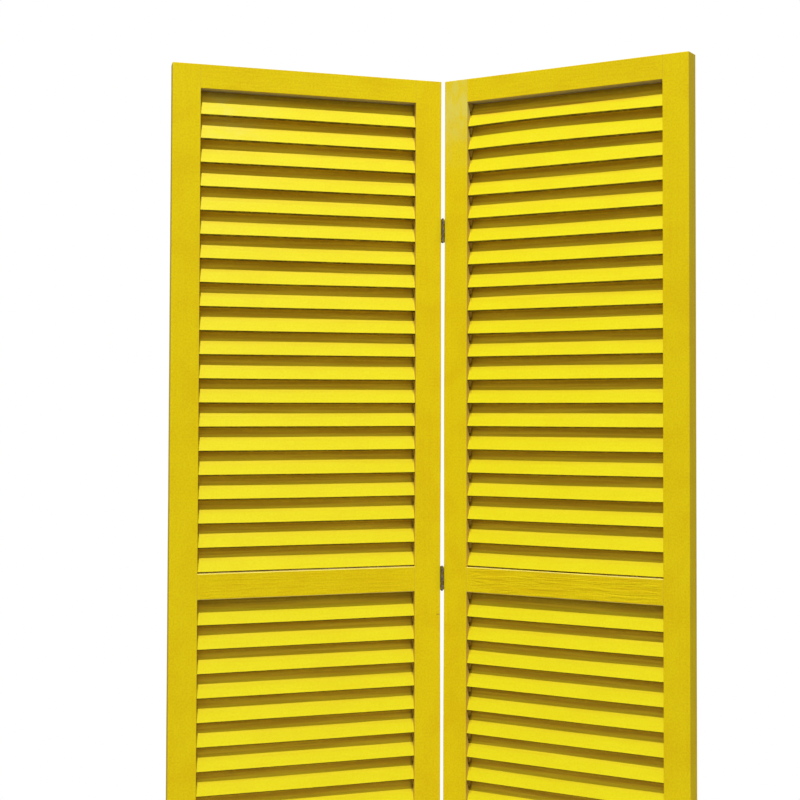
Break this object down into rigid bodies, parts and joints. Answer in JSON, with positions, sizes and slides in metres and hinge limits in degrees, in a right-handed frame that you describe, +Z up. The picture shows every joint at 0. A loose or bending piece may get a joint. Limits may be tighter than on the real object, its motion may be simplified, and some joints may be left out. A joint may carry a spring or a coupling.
{
  "type": "folding louvred screen",
  "caption": "Freestanding folding screen: painted wooden panels with fixed tilted louvre slats, joined down the fold by small steel butt hinges.",
  "frame": {"origin": "centre of the standing footprint at rest, on the floor", "axes": "+Z up; the V of the two panels opens towards -Y, and the fold line is on the plane X = 0 at the back; +X is the right panel's side seen from the front"},
  "size_m": [0.8528, 0.2042, 1.7],
  "materials": {
    "frame_paint": "brushed gloss paint",
    "slat_paint": "brushed gloss paint",
    "hinge_steel": "dull darkened",
    "screw_steel": "dull darkened"
  },
  "bodies": {
    "left_panel": {"left_panel_hinge_stile": "frame_paint", "left_panel_outer_stile": "frame_paint", "left_panel_bottom_rail": "frame_paint", "left_panel_middle_rail": "frame_paint", "left_panel_top_rail": "frame_paint", "left_panel_lower_slats_1": "slat_paint", "left_panel_lower_slats_2": "slat_paint", "left_panel_lower_slats_3": "slat_paint", "left_panel_lower_slats_4": "slat_paint", "left_panel_lower_slats_5": "slat_paint", "left_panel_upper_slats_1": "slat_paint", "left_panel_upper_slats_2": "slat_paint", "left_panel_upper_slats_3": "slat_paint", "left_panel_upper_slats_4": "slat_paint", "left_panel_upper_slats_5": "slat_paint", "bottom_hinge_left_leaf": "hinge_steel", "bottom_hinge_left_screw_1": "screw_steel", "bottom_hinge_left_screw_2": "screw_steel", "middle_hinge_left_leaf": "hinge_steel", "middle_hinge_left_screw_1": "screw_steel", "middle_hinge_left_screw_2": "screw_steel", "top_hinge_left_leaf": "hinge_steel", "top_hinge_left_screw_1": "screw_steel", "top_hinge_left_screw_2": "screw_steel", "bottom_hinge_pin": "hinge_steel", "middle_hinge_pin": "hinge_steel", "top_hinge_pin": "hinge_steel"},
    "right_panel": {"right_panel_hinge_stile": "frame_paint", "right_panel_outer_stile": "frame_paint", "right_panel_bottom_rail": "frame_paint", "right_panel_middle_rail": "frame_paint", "right_panel_top_rail": "frame_paint", "right_panel_lower_slats_1": "slat_paint", "right_panel_lower_slats_2": "slat_paint", "right_panel_lower_slats_3": "slat_paint", "right_panel_lower_slats_4": "slat_paint", "right_panel_lower_slats_5": "slat_paint", "right_panel_upper_slats_1": "slat_paint", "right_panel_upper_slats_2": "slat_paint", "right_panel_upper_slats_3": "slat_paint", "right_panel_upper_slats_4": "slat_paint", "right_panel_upper_slats_5": "slat_paint", "bottom_hinge_right_leaf": "hinge_steel", "bottom_hinge_right_screw_1": "screw_steel", "bottom_hinge_right_screw_2": "screw_steel", "middle_hinge_right_leaf": "hinge_steel", "middle_hinge_right_screw_1": "screw_steel", "middle_hinge_right_screw_2": "screw_steel", "top_hinge_right_leaf": "hinge_steel", "top_hinge_right_screw_1": "screw_steel", "top_hinge_right_screw_2": "screw_steel"}
  },
  "joints": [
    {"name": "fold", "type": "hinge", "parent": "left_panel", "child": "right_panel", "pos_m": [0, 0.07493, 0.85], "axis": [0, 0, -1], "range_deg": [-47, 133]}
  ]
}
